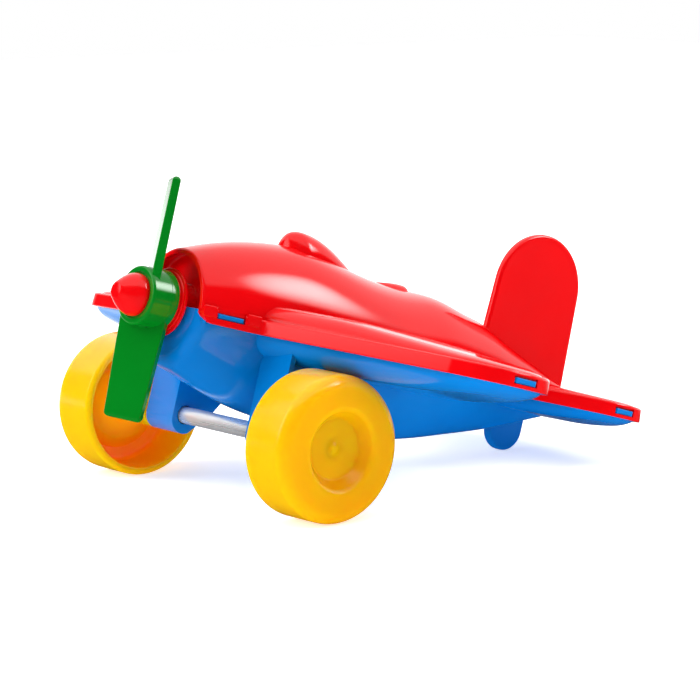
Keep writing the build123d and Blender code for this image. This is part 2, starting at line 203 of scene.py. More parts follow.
def divided(points, longest):
    """The same open path with its long straights divided."""
    out = [points[0]]
    for before, after in zip(points, points[1:]):
        pieces = max(1, math.ceil(math.dist(before, after) / longest))
        for k in range(1, pieces + 1):
            out.append(tuple(a + (b - a) * k / pieces for a, b in zip(before, after)))
    return out


def straight(start, end, steps):
    """Evenly spaced points on a straight, both ends included."""
    return [tuple(a + (b - a) * k / steps for a, b in zip(start, end)) for k in range(steps + 1)]


def tangent_angle(centre, radius, point, side):
    """Angle of the tangent point on a circle seen from a point, on one side."""
    gap = (point[0] - centre[0], point[1] - centre[1])
    return math.atan2(gap[1], gap[0]) + side * math.acos(radius / math.hypot(*gap))


def surface_outline(surface, inset):
    """Port half of a wing's or tailplane's plan, from root front round the tip to root rear."""
    front = (surface["front"][0], surface["front"][1] + inset)
    rear = (surface["rear"][0], surface["rear"][1] - inset)
    radius = surface["radius"] - inset
    start = tangent_angle(surface["tip"], radius, front, 1) % math.tau - math.tau
    end = tangent_angle(surface["tip"], radius, rear, -1) % math.tau
    tip = arc(surface["tip"], radius, math.degrees(start), math.degrees(end), 48)
    return straight(front, tip[0], 10)[:-1] + tip + straight(tip[-1], rear, 10)[1:]


def mirrored(half):
    """Closed outline from a port half that runs front to rear."""
    return half + [(-x, y) for x, y in reversed(half) if x > 1e-6]


def softened(points, corners):
    """Path with some of its corners, by index and radius, replaced by arcs."""
    out = []
    for i, point in enumerate(points):
        if i not in corners:
            out.append(point)
            continue
        here = Vector(point)
        before = (Vector(points[i - 1]) - here).normalized()
        after = (Vector(points[i + 1]) - here).normalized()
        half = before.angle(after) / 2
        radius = corners[i]
        middle = here + (before + after).normalized() * (radius / math.sin(half))
        start = here + before * (radius / math.tan(half)) - middle
        end = here + after * (radius / math.tan(half)) - middle
        for k in range(9):
            spoke = start.slerp(end, k / 8)
            out.append(tuple(middle + spoke.normalized() * radius))
    return out


def rim_outline():
    """Port half of the skirt's outer plan, nose to tail."""
    wing, tail = surface_outline(WING, 0.0), surface_outline(TAILPLANE, 0.0)
    wing = [point for point in wing if point[0] > WING_STARTS]
    tail = [point for point in tail[:-1] if point[0] > TAILPLANE_STARTS or point[1] > TAILPLANE["tip"][1]]
    sides = [(half_width(y) + LEDGE, y) for y in SKIRT_BODY_AT]
    path = [(0.0, NOSE), SKIRT_NOSE, SKIRT_FRONT] + wing + [WING_REAR_CORNER]
    rear_corner = len(path) - 1
    path += sides + [TAIL_FRONT_CORNER] + tail + [(0.0, TAIL)]
    tail_corner = rear_corner + len(sides) + 1
    return softened(path, {1: 0.5, 2: 3.0, rear_corner: 2.5, tail_corner: 2.5})


def inset_loop(loop, inset):
    """Closed loop (counter-clockwise) moved inwards, corners mitred."""
    pts = np.array(loop)
    ahead = np.roll(pts, -1, axis=0) - pts
    ahead /= np.linalg.norm(ahead, axis=1)[:, None]
    inward = np.stack([-ahead[:, 1], ahead[:, 0]], axis=1)
    normal = inward + np.roll(inward, 1, axis=0)
    normal /= np.linalg.norm(normal, axis=1)[:, None]
    lean = np.clip((normal * inward).sum(axis=1), 0.3, 1.0)
    return pts + normal * (inset / lean)[:, None]


# ------------------------------------------------------------------ mesh making


def make_object(name, verts, faces):
    """Mesh object with outward normals, in level millimetres."""
    mesh = bpy.data.meshes.new(name)
    mesh.from_pydata([tuple(map(float, v)) for v in verts], [], faces)
    bm = bmesh.new()
    bm.from_mesh(mesh)
    bmesh.ops.remove_doubles(bm, verts=bm.verts, dist=1e-4)
    bmesh.ops.recalc_face_normals(bm, faces=bm.faces)
    bm.to_mesh(mesh)
    bm.free()
    obj = bpy.data.objects.new(name, mesh)
    bpy.context.collection.objects.link(obj)
    return obj


def paired_cap(count):
    """Faces that fill a mirrored outline in strips from its front edge to its rear edge."""
    half = count // 2
    faces = [(0, half - 1, half, count - 1)]
    for i in range((half - 1) // 2):
        port = [i, i + 1, half - 2 - i, half - 1 - i]
        if port[1] == port[2]:
            port.pop(2)
        faces += [tuple(port), tuple(count - 1 - k for k in port)]
    return faces


def skin(name, rings, paired=False):
    """Closed solid over rings with equal numbers of points, its ends one face each or paired strips."""
    count = len(rings[0])
    faces = []
    for level in range(len(rings) - 1):
        base = level * count
        for i in range(count):
            j = (i + 1) % count
            faces.append((base + i, base + j, base + count + j, base + count + i))
    last = (len(rings) - 1) * count
    for base in (0, last):
        cap = paired_cap(count) if paired else [range(count)]
        faces += [tuple(base + i for i in face) for face in cap]
    return make_object(name, [p for ring in rings for p in ring], faces)


def slab(name, loop, profile):
    """Plan loop raised through (inset, height) steps."""
    rings = []
    for inset, height in profile:
        rings.append([(x, y, height) for x, y in inset_loop(loop, inset)])
    return skin(name, rings)


def plate(name, loop, half_thickness, edge, steps):
    """Upright plate about the middle plane from a (Y, Z) loop, its edges rounded."""
    levels = [(edge - y, half_thickness - edge + x) for x, y in arc((0, 0), edge, 90, 0, steps)]
    levels = [(inset, -height) for inset, height in reversed(levels)] + levels
    rings = [[(height, y, z) for y, z in inset_loop(loop, inset)] for inset, height in levels]
    return skin(name, rings)


def lathe(name, profile, height=0.0, across=False, segments=128):
    """Solid turned about an axis: (along, radius) points, closed at the axis or into a ring."""
    closed = profile[0][1] > 1e-6
    rows = profile + [profile[0]] if closed else profile
    verts, faces = [], []
    for k in range(segments):
        angle = math.tau * k / segments
        for along, radius in rows:
            c, s = radius * math.cos(angle), radius * math.sin(angle)
            verts.append((along, c, s) if across else (c, along, s))
    step = len(rows)
    for k in range(segments):
        a, b = k * step, (k + 1) % segments * step
        for i in range(step - 1):
            faces.append((a + i, a + i + 1, b + i + 1, b + i))
    obj = make_object(name, verts, faces)
    obj.data.transform(Matrix.Translation((0, 0, height)))
    return obj


def cylinder(name, start, end, radius, height=0.0, across=False, segments=128):
    """Plain round solid along an axis."""
    return lathe(name, [(start, 0), (start, radius), (end, radius), (end, 0)], height, across, segments)


def rounded_box(name, low, high, edge, steps=3):
    """Box between two corners with rounded edges."""
    corners = [(x, y, z) for x in (low[0], high[0]) for y in (low[1], high[1]) for z in (low[2], high[2])]
    faces = [(0, 1, 3, 2), (4, 6, 7, 5), (0, 4, 5, 1), (2, 3, 7, 6), (0, 2, 6, 4), (1, 5, 7, 3)]
    obj = make_object(name, corners, faces)
    if edge:
        bevel(obj, edge, steps)
    return obj


def bevel(obj, width, steps=3, angle=30.0):
    """Rounds a mesh's sharp edges."""
    mod = obj.modifiers.new("round", "BEVEL")
    mod.width = width
    mod.segments = steps
    mod.limit_method = "ANGLE"
    mod.angle_limit = math.radians(angle)
    mod.use_clamp_overlap = True
    bake_modifiers(obj)


def bake_modifiers(obj):
    """Turns an object's modifiers into plain mesh."""
    graph = bpy.context.evaluated_depsgraph_get()
    mesh = bpy.data.meshes.new_from_object(obj.evaluated_get(graph))
    obj.modifiers.clear()
    obj.data = mesh


def merge(base, tools, operation="UNION"):
    """Boolean of a base solid with others, which are used up."""
    for tool in tools:
        mod = base.modifiers.new("merge", "BOOLEAN")
        mod.operation = operation
        mod.solver = "MANIFOLD"
        mod.object = tool
        bake_modifiers(base)
        bpy.data.objects.remove(tool)
    return base


def cut(base, *tools):
    """Takes solids out of a base solid."""
    return merge(base, tools, "DIFFERENCE")


def turned(obj, spot, degrees):
    """Moves a solid drawn at the origin to a spot in plan, turned about the vertical."""
    obj.data.transform(Matrix.Translation((*spot, 0)) @ Matrix.Rotation(math.radians(degrees), 4, "Z"))
    return obj


def opposite(obj, name):
    """Copy mirrored across the middle plane."""
    copy = bpy.data.objects.new(name, obj.data.copy())
    bpy.context.collection.objects.link(copy)
    copy.data.transform(Matrix.Scale(-1, 4, (1, 0, 0)))
    copy.data.flip_normals()
    return copy


def both_sides(make):
    """A solid from make() and its mirror image."""
    port = make()
    return [port, opposite(port, port.name + "_mirror")]


def place(obj, node, body, material):
    """Finishes a piece: clean mesh, shading, place in the row frame, material and body, and hides the CAD
    part it stands in for.
    """
    bm = bmesh.new()
    bm.from_mesh(obj.data)
    bmesh.ops.remove_doubles(bm, verts=bm.verts, dist=WELD)
    bmesh.ops.dissolve_degenerate(bm, edges=bm.edges, dist=WELD / 2)
    for face in bm.faces:
        face.smooth = True
    for edge in bm.edges:
        edge.smooth = edge.is_manifold and edge.calc_face_angle(0.0) < math.radians(CREASE)
    bm.to_mesh(obj.data)
    bm.free()
    obj.data.transform(TO_ROW)
    mod = obj.modifiers.new("even_shading", "WEIGHTED_NORMAL")
    mod.keep_sharp = True
    mod.weight = 60
    obj.data.materials.clear()
    obj.data.materials.append(material)
    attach(obj, body)
    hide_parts(node)


# ------------------------------------------------------------------ materials


def add(tree, kind, **values):
    """Adds a node and sets its inputs or properties by name."""
    node = tree.nodes.new(kind)
    for key, value in values.items():
        if key in node.inputs.keys():
            node.inputs[key].default_value = value
        else:
            setattr(node, key, value)
    return node


def noise_texture(tree, scale, detail, stretch=None):
    """Noise in object space, stretched along an axis if asked."""
    coords = add(tree, "ShaderNodeTexCoord")
    vector = coords.outputs["Object"]
    if stretch:
        mapping = add(tree, "ShaderNodeMapping")
        mapping.inputs["Scale"].default_value = stretch
        tree.links.new(vector, mapping.inputs["Vector"])
        vector = mapping.outputs["Vector"]
    texture = add(tree, "ShaderNodeTexNoise", Scale=scale, Detail=detail)
    tree.links.new(vector, texture.inputs["Vector"])
    return texture


def ramp(tree, source, low, high, out_low, out_high):
    """Maps part of a texture's range onto another range."""
    node = add(tree, "ShaderNodeMapRange")
    node.inputs["From Min"].default_value = low
    node.inputs["From Max"].default_value = high
    node.inputs["To Min"].default_value = out_low
    node.inputs["To Max"].default_value = out_high
    tree.links.new(source, node.inputs["Value"])
    return node.outputs["Result"]


def blank_material(name):
    """New material, its node tree and its main shader."""
    material = bpy.data.materials.new(name)
    material.use_nodes = True
    return material, material.node_tree, material.node_tree.nodes["Principled BSDF"]


def colour_by(tree, shader, share, colour, deep):
    """Blends a shader's colour towards a deeper one by a share."""
    mix = add(tree, "ShaderNodeMix", data_type="RGBA")
    mix.inputs["A"].default_value = (*colour, 1)
    mix.inputs["B"].default_value = (*deep, 1)
    tree.links.new(share, mix.inputs["Factor"])
    tree.links.new(mix.outputs["Result"], shader.inputs["Base Color"])


def bump_by(tree, shader, source, strength, distance):
    """Raises a shader's surface by a texture."""
    bump = add(tree, "ShaderNodeBump", Strength=strength, Distance=distance)
    tree.links.new(source, bump.inputs["Height"])
    tree.links.new(bump.outputs["Normal"], shader.inputs["Normal"])


def plastic(name, colour, deep, rough_from, soft=0.0):
    """Moulded plastic: slight cloudiness, handling scuffs and a faint flow texture."""
    material, tree, shader = blank_material(name)
    cloud = noise_texture(tree, 28.0, 3.0)
    colour_by(tree, shader, ramp(tree, cloud.outputs["Fac"], 0.35, 0.75, 0.0, 1.0), colour, deep)
    scuff = noise_texture(tree, 160.0, 4.0, (1.0, 0.25, 0.6))
    rough = ramp(tree, scuff.outputs["Fac"], 0.35, 0.8, rough_from, rough_from + 0.04)
    tree.links.new(rough, shader.inputs["Roughness"])
    flow = noise_texture(tree, 35.0, 1.0, (1.0, 0.4, 1.0))
    grain = noise_texture(tree, 900.0, 2.0)
    blend = add(tree, "ShaderNodeMix", data_type="FLOAT")
    blend.inputs["Factor"].default_value = 0.06
    tree.links.new(flow.outputs["Fac"], blend.inputs["A"])
    tree.links.new(grain.outputs["Fac"], blend.inputs["B"])
    bump_by(tree, shader, blend.outputs["Result"], 0.06, 0.0004)
    shader.inputs["IOR"].default_value = 1.5
    if soft:
        shader.inputs["Subsurface Weight"].default_value = soft
        shader.inputs["Subsurface Radius"].default_value = (1.0, 0.45, 0.02)
        shader.inputs["Subsurface Scale"].default_value = 0.018
    return material


def steel(name):
    """Bare drawn rod: bright, with fine marks along it and light handling stains."""
    material, tree, shader = blank_material(name)
    stain = noise_texture(tree, 90.0, 4.0)
    share = ramp(tree, stain.outputs["Fac"], 0.4, 0.8, 0.0, 1.0)
    colour_by(tree, shader, share, (0.93, 0.94, 0.96), (0.80, 0.81, 0.84))
    lines = noise_texture(tree, 900.0, 3.0, (0.03, 1.0, 1.0))
    tree.links.new(ramp(tree, lines.outputs["Fac"], 0.3, 0.7, 0.22, 0.40), shader.inputs["Roughness"])
    bump_by(tree, shader, lines.outputs["Fac"], 0.15, 0.0001)
    shader.inputs["Metallic"].default_value = 0.7
    return material


# ------------------------------------------------------------------ shells


def arch(wide, y, base, tall, fullness=1.0, steps=72):
    """Half ellipse across the middle plane at one distance along, standing on a base height."""
    angles = np.linspace(0, math.pi, steps + 1)
    return [(wide * math.cos(t), y, base + tall * math.sin(t) ** fullness) for t in angles]


def fuselage_half(name, side, inset, front, rear, rounding=0.0):
    """Upper (side 1) or lower (side -1) half of the fuselage, its front edge rounded."""
    steps = []
    if rounding:
        steps = [(front + rounding - rounding * math.sin(a), rounding - rounding * math.cos(a))
                 for a in np.linspace(math.pi / 2, 0, 7)]
    begin = front + rounding
    along = np.linspace(begin, rear, int((rear - begin) / 2.5) + 2)
    steps += [(y, 0.0) for y in along[1 if rounding else 0 :]]
    rings = []
    for y, trim in steps:
        wide = half_width(y) - inset - trim
        tall = (spine(y) - SPLIT if side > 0 else SPLIT - keel(y)) - inset - trim
        rings.append(arch(wide, y, SPLIT, side * tall))
    return skin(name, rings)


def thinned(x, thins):
    """Share of a top panel's height left at a distance from the middle: straight loss to the tip."""
    start, tip, loss = thins
    return 1 - loss * max(0.0, abs(x) - start) / (tip - start)


def thinned_round(x, thins):
    """Share of an underside's depth left at a distance from the middle: elliptical loss to the tip."""
    start, tip = thins
    return max(0.02, 1 - (max(0.0, abs(x) - start) / (tip - start)) ** 2) ** 0.6


def nose_bowl():
    """Hollow in the front of the nose: a wall all round and a floor that curves up to it."""
    curve = 2.0
    steps = [(NOSE - 1.5, 0.0)]
    for a in np.linspace(0.0, math.pi / 2, 10):
        steps.append((NOSE + RECESS - curve + curve * math.sin(a), curve * (1 - math.cos(a))))
    rings = []
    for y, trim in steps:
        wide = half_width(y) - NOSE_LIP - trim
        tall = spine(y) - SPLIT - NOSE_LIP - trim
        rings.append(arch(wide, y, SPLIT, tall))
    return skin("bowl", rings)


def surface_solid(name, surface, profile, plane, share, lift=0.0):
    """Wing or tailplane panel raised through (inset, height) steps, thinned about a plane, then lifted."""
    rings = []
    for inset, height in profile:
        ring = []
        for x, y in mirrored(surface_outline(surface, inset)):
            ring.append((x, y, plane + (height - plane) * share(x) + lift))
        rings.append(ring)
    return skin(name, rings, True)


def crowned(inset, low, high, width, power, crown=0.0, crown_width=0.0):
    """Profile that rises from low to high over a width, rounded, then crowns gently inwards."""
    steps, crown_steps = 12, 6
    profile = [(inset, low)]
    for k in range(1, steps + 1):
        share = 1 - math.cos(math.pi / 2 * k / steps)
        rise = (1 - (1 - share) ** power) ** (1 / power)
        profile.append((inset + width * share, low + (high - low) * rise))
    for k in range(1, crown_steps + 1 if crown else 1):
        share = k / crown_steps
        level = high + crown * math.sin(math.pi / 2 * share)
        profile.append((inset + width + crown_width * share, level))
    return profile


def upper_panels(wall):
    """Raised top panels of the wing and tailplane, or the hollows under them."""
    base = LEDGE + wall
    foot = [(base, PANEL_PLANE - 1.0)]
    wing = foot + crowned(base, PANEL_PLANE + 0.2, WING_TOP, 6.0, 1.7, 0.8, 8.0)
    tail = foot + crowned(base, PANEL_PLANE - 0.1, TAIL_TOP, 2.6, 1.8, 0.5, 6.0)
    return [
        surface_solid("wing_top", WING, wing, PANEL_PLANE, lambda x: thinned(x, WING_THINS), -wall),
        surface_solid("tail_top", TAILPLANE, tail, PANEL_PLANE, lambda x: thinned(x, TAIL_THINS), -wall),
    ]


def lower_panels(wall):
    """Bulged undersides of the wing and tailplane, or the hollows in them."""
    base = SKIRT_WALL + RIM_GAP + wall
    foot = [(base, BELLY_PLANE + 0.6)]
    wing = foot + crowned(base, BELLY_PLANE, WING_LOW, 12.5, 2.3)
    tail = foot + crowned(base, BELLY_PLANE, TAIL_LOW, 9.0, 2.1)

    def wing_share(x):
        return thinned_round(x, WING_BELLY_THINS)

    def tail_share(x):
        return thinned_round(x, TAIL_BELLY_THINS)

    return [
        surface_solid("wing_under", WING, wing, BELLY_PLANE, wing_share, wall),
        surface_solid("tail_under", TAILPLANE, tail, BELLY_PLANE, tail_share, wall),
    ]


def bump_on_spine(name, centre, blunt, drawn, width, height, blunt_power, drawn_power):
    """Rounded bump rooted in the spine: blunt to one side of its centre, drawn out to the other."""
    rings = []
    root = 4.0
    blunt_side = -np.cos(np.linspace(0.02, math.pi / 2, 22))
    drawn_side = np.sin(np.linspace(0, 1.55, 34))[1:]
    for share in np.concatenate([blunt_side, drawn_side]):
        along = centre + share * (blunt if share < 0 else drawn)
        if share < 0:
            rise = (1 - abs(share) ** blunt_power) ** (1 / blunt_power)
            wide = math.sqrt(max(1e-4, 1 - share * share))
        else:
            rise = math.cos(share * math.pi / 2) ** drawn_power
            wide = max(0.01, math.cos(share * math.pi / 2)) ** 0.62
        rings.append(arch(width * wide, along, spine(along) - root, root + height * rise, 0.85, 40))
    return skin(name, rings)


def hook_box(hook, name, inner, outer, low, high, widen=0.0, edge=0.0):
    """Box set against the skirt at one snap hook, port side."""
    spot, angle, width = hook[:3]
    half = width / 2 + widen
    return turned(rounded_box(name, (inner, -half, low), (outer, half, high), edge), spot, angle)


def hook_openings(hook):
    """What one snap hook takes out of the skirt, both sides: its tab's notch and a shallower step above."""
    low, tab_top, window_top = hook[3:]
    past, spare = 1.5, 0.5
    notch = both_sides(lambda: hook_box(hook, "notch", -3.0, past, low, tab_top + 0.25, spare))
    return notch + both_sides(lambda: hook_box(hook, "step", -1.5, past, low, window_top, spare))


def nose_lug(along, length):
    """Raised block of the skirt at one end of the nose notch, port side."""
    y = along + length / 2
    share = (y - SKIRT_NOSE[1]) / (SKIRT_FRONT[1] - SKIRT_NOSE[1])
    spot = (SKIRT_NOSE[0] + share * (SKIRT_FRONT[0] - SKIRT_NOSE[0]), y)
    box = rounded_box("lug", (-4.2, -length / 2, 34.0), (0.02, length / 2, 38.0), 0.5, 4)
    return turned(box, spot, HOOKS[0][1])


def skirt_toe():
    """What is taken off the skirt's lower front corner to round it, both sides."""
    radius = 4.2
    centre = (NOSE + radius + 0.1, SKIRT_LOW + radius)
    curve = arc(centre, radius, 180, 270, 10)
    loop = curve + [(centre[0], SKIRT_LOW - 2.0), (NOSE - 2.0, SKIRT_LOW - 2.0), (NOSE - 2.0, centre[1])]
    return skin("toe", [[(x, y, z) for y, z in loop] for x in (-30.0, 30.0)])


def collar_seat():
    """Round seat for the prop collar, cut half into each shell."""
    return cylinder("seat", NOSE - 1, COLLAR_REAR + 1.4, COLLAR_TUBE + 0.05, PROP_AXIS)


def make_upper_shell():
    """Top moulding: fuselage top, wing and tail panels, canopy, fairing, skirt with its openings."""
    rim = mirrored(rim_outline())
    round_top = 0.9
    edge = [(0.35, SKIRT_LOW), (0.1, SKIRT_LOW + 0.12), (0.0, SKIRT_LOW + 0.4)]
    for a in np.linspace(0, math.pi / 2, 6):
        edge.append((0.3 + round_top * (1 - math.cos(a)), SKIRT_HIGH - round_top + round_top * math.sin(a)))
    edge += [(3.6, SKIRT_HIGH), (6.5, SKIRT_HIGH)]
    shell = slab("upper_shell_skin", rim, edge)
    merge(shell, upper_panels(0.0))
    merge(shell, [fuselage_half("body", 1, 0.0, NOSE, TAIL, 0.7)])
    merge(shell, [bump_on_spine("canopy", *CANOPY), bump_on_spine("fairing", *FAIRING)])
    for along, length in NOSE_LUGS:
        merge(shell, both_sides(lambda: nose_lug(along, length)))
    cavity = slab("hollow", rim, [(SKIRT_WALL, SKIRT_LOW - 1), (SKIRT_WALL, SKIRT_HIGH - WALL)])
    cut(shell, cavity, *upper_panels(WALL))
    cut(shell, fuselage_half("hollow", 1, WALL, NOSE + RECESS + WALL, TAIL - WALL))
    cut(shell, nose_bowl())
    chin_low = (-CHIN_HALF, NOSE - 3, SKIRT_LOW - 3)
    chin_high = (CHIN_HALF, NOSE + CHIN_LENGTH, SPLIT + 0.02)
    cut(shell, rounded_box("below", chin_low, chin_high, 0))
    cut(shell, skirt_toe())
    for hook in HOOKS:
        cut(shell, *hook_openings(hook))
    return cut(shell, collar_seat())


def make_lower_shell():
    """Bottom moulding: belly, wing and tail undersides, and the rim inside the skirt."""
    rim = mirrored(rim_outline())
    inner = SKIRT_WALL + RIM_GAP
    edge = [(inner, 35.0), (inner, 32.4), (inner + 0.3, 31.9), (inner + 0.8, 31.7), (6.0, 31.7)]
    shell = slab("lower_shell_skin", rim, edge)
    merge(shell, lower_panels(0.0))
    merge(shell, [fuselage_half("belly", -1, 0.0, NOSE, TAIL, 3.4)])
    hollow = slab("hollow", rim, [(inner + WALL, 36.5), (inner + WALL, 33.2)])
    cut(shell, hollow, *lower_panels(WALL))
    cut(shell, fuselage_half("hollow", -1, WALL, NOSE + WALL, TAIL - WALL))
    return cut(shell, collar_seat())


def make_snap_hooks():
    """Six hook tabs of the lower shell, seen in the skirt's openings."""
    tabs = []
    for hook in HOOKS:
        low, high = hook[3] + 0.15, hook[4]
        tabs += both_sides(lambda: hook_box(hook, "snap_hook_tabs", -4.5, -0.55, low, high, edge=0.35))
    return merge(tabs[0], tabs[1:])


def make_fin():
    """Upright fin: straight raked edges, a round top, and a low strake ahead of it."""
    top = arc(FIN_TOP, FIN_RADIUS, 2.0, 176.0, 40)
    rear_foot, front_foot = (155.2, 36.0), (110.4, 48.0)
    loop = divided([rear_foot, top[0]], 6.0)[:-1] + top + divided([top[-1], front_foot], 6.0)[1:]
    loop += [(112.0, 44.0), (130.0, 38.0)]
    fin = plate("fin_plate", loop, FIN_THICKNESS / 2, 1.15, 5)
    first, last = STRAKE_ENDS
    strake = []
    for y in np.linspace(last, first, 8):
        strake.append((y, spine(y) + 0.05 + 0.55 * (y - first) / (last - first)))
    strake += [(96.0, 50.0), (114.0, 46.0)]
    return merge(fin, [plate("strake", strake, 1.55, 0.4, 3)])


def make_tail_skid():
    """Rounded plate under the tail, its lowest point on the floor."""
    low = (SKID_MIDDLE * math.sin(TILT) - AXLE.z * 1000 + SKID_RADIUS) / math.cos(TILT)
    loop = arc((SKID_MIDDLE, low), SKID_RADIUS, 180, 360, 36)
    loop += [(SKID_MIDDLE + 8.4, low + 12.0), (SKID_MIDDLE - 8.4, low + 7.0)]
    return plate("skid_plate", loop, SKID_THICKNESS / 2, 0.9, 4)


def make_leg():
    """Port leg: open box with a bearing ring, its open side outboard."""
    def profile(inset):
        front, rear = inset - LEG_FOOT, LEG_REAR - inset
        foot = arc((0, -1.3), LEG_FOOT - inset, 180, 300, 16)
        return foot + [(11.6 - inset, 2.6 + inset), (rear, 25.5), (rear, LEG_TOP), (front, LEG_TOP)]

    def prism(name, inset, near, far):
        rings = [[(x, y, z) for y, z in profile(inset)] for x in (near, far)]
        return skin(name, rings)

    past = 3.5
    leg = prism("leg_box", 0.0, LEG_INBOARD, LEG_OUTBOARD)
    cut(leg, prism("pocket", LEG_WALL, LEG_INBOARD + LEG_WALL, LEG_OUTBOARD + past))
    merge(leg, [cylinder("ring", LEG_INBOARD, LEG_OUTBOARD, BEARING_OUTER, 0.0, True, 64)])
    cut(leg, cylinder("bore", LEG_INBOARD - past, LEG_OUTBOARD + past, BEARING_RADIUS, 0.0, True, 64))
    bevel(leg, 0.55, 3, 40.0)
    return leg


# ------------------------------------------------------------------ running gear and propeller


def make_wheel():
    """Port wheel: rounded tread, dished face with a nub, hollow inner side with a boss."""
    out = WHEEL_FACE
    floor = out - DISH_DEPTH
    web = floor - WEB
    inner = out - WHEEL_WIDTH
    end = inner - BOSS_LENGTH
    bottom = AXLE_HALF + 0.1
    # Nub, dish and outer face
    profile = [(floor + 0.5, 0.0), (floor + 0.5, 1.0), (floor + 0.35, 1.5), (floor + 0.05, 1.9)]
    profile += [(floor - 0.25, 2.8), (floor - 0.3, 3.6), (floor, 4.8), (floor, 9.6)]
    profile += arc((floor + 1.0, 9.8), 1.0, 180, 110, 5)
    profile += arc((out - 2.6, 14.9), 2.5, -70, 0, 9)
    profile += [(out - 0.15, 16.9), (out - 0.3, 18.8)]
    # Tread
    profile += arc((out - 5.0, 20.35), 4.6, 8, 88, 12)
    profile += [(inner + 12.0, WHEEL_RADIUS), (inner + 5.0, WHEEL_RADIUS)]
    profile += arc((inner + 1.7, WHEEL_RADIUS - 1.7), 1.7, 90, 180, 7)
    profile += arc((inner + 0.7, 23.0), 0.7, 190, 260, 4)
    # Hollow inner side
    profile += [(inner + 3.0, 22.2), (out - 7.2, 21.8)]
    profile += arc((out - 7.4, 19.8), 2.0, 85, 10, 5)
    profile += [(out - 4.9, 17.2), (web + 0.3, 14.2), (web, 13.0), (web, 8.0)]
    profile += arc((web - 1.2, 7.7), 1.2, 0, -90, 5)
    # Boss and the blind hole that the axle is pressed into
    profile += [(end + 0.5, 6.5), (end, 6.1), (end, AXLE_RADIUS + 0.3), (end + 0.3, AXLE_RADIUS)]
    profile += [(bottom, AXLE_RADIUS), (bottom, 0.0)]
    return lathe("wheel_port", profile, 0.0, True, 192)


def make_axle():
    """Steel rod with chamfered ends."""
    half, chamfer, radius = AXLE_HALF, 0.4, AXLE_RADIUS - 0.02
    profile = [(-half, 0), (-half, 2.6), (chamfer - half, radius)]
    profile += [(half - chamfer, radius), (half, 2.6), (half, 0)]
    return lathe("axle_rod", divided(profile, 8.0), 0.0, True, 64)


def make_collar():
    """Stepped flange and tube seated in the nose."""
    bore = SHANK_RADIUS + 0.08
    profile = [(-36.3, bore), (-36.3, 9.4), (-36.15, 9.7), (-35.8, 9.8), (-35.7, 10.5), (-35.55, 10.7)]
    profile += [(-35.2, 10.8), (-35.1, 11.45), (-34.9, 11.7), (-34.3, 11.7), (-34.1, 11.5), (-34.0, 8.6)]
    profile += [(-33.6, COLLAR_TUBE), (COLLAR_REAR, COLLAR_TUBE), (COLLAR_REAR, bore)]
    return lathe("collar_turned", profile, PROP_AXIS)


def blade_ring(half_width_here, half_thickness, corner, z):
    """Rounded rectangle across a blade at one height."""
    ring = []
    corners = ((1, 1, 0), (-1, 1, 90), (-1, -1, 180), (1, -1, 270))
    for side_x, side_y, start in corners:
        centre = (side_x * (half_width_here - corner), side_y * (half_thickness - corner))
        ring += [(x, y, z) for x, y in arc(centre, corner, start, start + 90, 4)]
    return ring


def make_blade():
    """One blade standing up from the axis, drawn in towards its tip and turned to its pitch."""
    tip_round = 1.45
    levels = [(z, 0.0) for z in np.linspace(2.0, BLADE_TIP - tip_round, 14)]
    for a in np.linspace(0.0, math.pi / 2, 8)[1:]:
        levels.append((BLADE_TIP - tip_round * (1 - math.sin(a)), tip_round * (1 - math.cos(a))))
    rings = []
    for z, trim in levels:
        wide = BLADE_ROOT[0] - BLADE_TAPER[0] * z - trim
        thick = max(BLADE_ROOT[1] - BLADE_TAPER[1] * z - trim * 0.92, 0.05)
        rings.append(blade_ring(wide, thick, min(0.45, thick * 0.9), z))
    blade = skin("blade", rings)
    pitched = Matrix.Rotation(math.radians(-BLADE_PITCH), 4, "Z")
    blade.data.transform(Matrix.Translation((0, 0.3, 0)) @ pitched)
    return blade


def make_propeller():
    """Flat-faced hub, dished for the spinner, with two blades trimmed to its ends."""
    front, rear = HUB_FRONT, HUB_REAR
    dish, face, edge = 7.8, 9.3, 0.9
    hub = [(front + 0.5, 0), (front + 0.5, dish), (front + 0.1, 8.0), (front, 8.2), (front, face)]
    hub += [(front + edge - y, face + x) for y, x in arc((0, 0), edge, 0, 90, 6)[1:]]
    hub += [(rear - 3.2, 10.4), (rear - 3.1, 10.5), (rear - 0.5, 10.5), (rear - 0.1, 10.35), (rear, 10.0)]
    propeller = lathe("propeller_moulding", hub + [(rear, 0)], PROP_AXIS)
    middle = Matrix.Translation((0, (front + rear) / 2, PROP_AXIS))
    for turn in (0, 180):
        blade = make_blade()
        blade.data.transform(middle @ Matrix.Rotation(math.radians(turn), 4, "Y"))
        merge(propeller, [blade])
    seat = cylinder("seat", front - 5, front + 0.5, dish, PROP_AXIS)
    ahead = cylinder("ahead", front - 5, front, 11.5, PROP_AXIS)
    behind = cylinder("behind", rear, rear + 5, 12.4, PROP_AXIS)
    return cut(propeller, seat, ahead, behind)


def make_spinner():
    """Blunt nose cone with a flat tip, and the shank behind it."""
    tip, front = SPINNER_TIP, HUB_FRONT
    profile = [(tip, 0), (tip, 2.6), (tip + 0.08, 2.85), (tip + 0.3, 3.1)]
    for share in np.linspace(0.08, 1.0, 14):
        radius = 3.0 + 4.4 * (0.1 * share + 0.9 * math.sin(share * math.pi / 2))
        profile.append((tip + 0.1 + 7.7 * share, radius))
    profile += [(front - 0.3, 7.35), (front - 0.15, 7.2), (front + 0.4, 7.2), (front + 0.5, SHANK_RADIUS)]
    profile += [(SHANK_END - 0.3, SHANK_RADIUS), (SHANK_END, SHANK_RADIUS - 0.3), (SHANK_END, 0)]
    return lathe("spinner_cone", profile, PROP_AXIS, False, 96)


